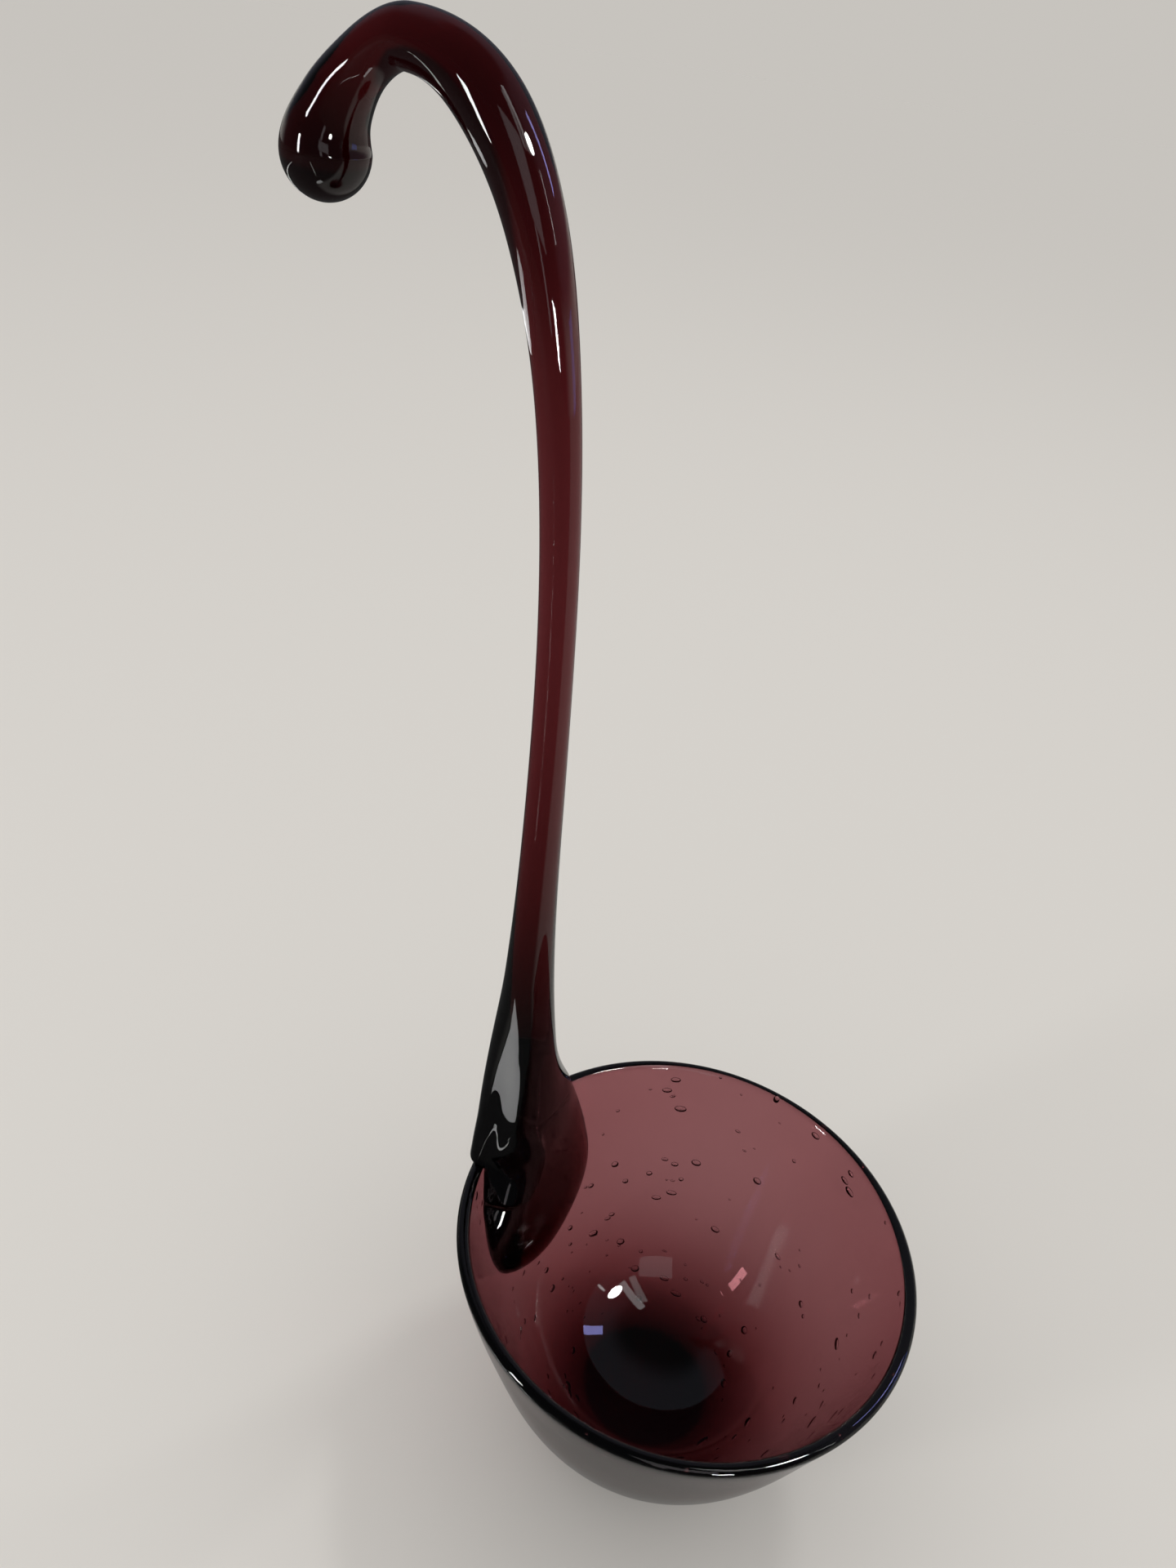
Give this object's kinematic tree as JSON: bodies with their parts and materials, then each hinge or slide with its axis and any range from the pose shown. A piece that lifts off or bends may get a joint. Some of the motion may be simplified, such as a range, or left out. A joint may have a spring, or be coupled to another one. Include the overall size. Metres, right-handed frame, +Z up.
{
  "type": "glass ladle",
  "caption": "Hand-blown plum glass ladle: a deep round bowl and a solid rod handle, pressed on the bowl's inside at its foot and bent outwards to a knobbed hook.",
  "frame": {"origin": "middle of the bowl's flat base", "axes": "+Z up the bowl's axis, from the base to the lip; the handle stands over the -X side and its hook bends away from the bowl, so the part is symmetric about the XZ plane"},
  "size_m": [0.1465, 0.09, 0.2506],
  "materials": {
    "blown_plum_glass": "fire-polished",
    "solid_plum_glass": "fire-polished"
  },
  "bodies": {
    "root": {"bowl": "blown_plum_glass", "handle": "solid_plum_glass"}
  },
  "joints": []
}
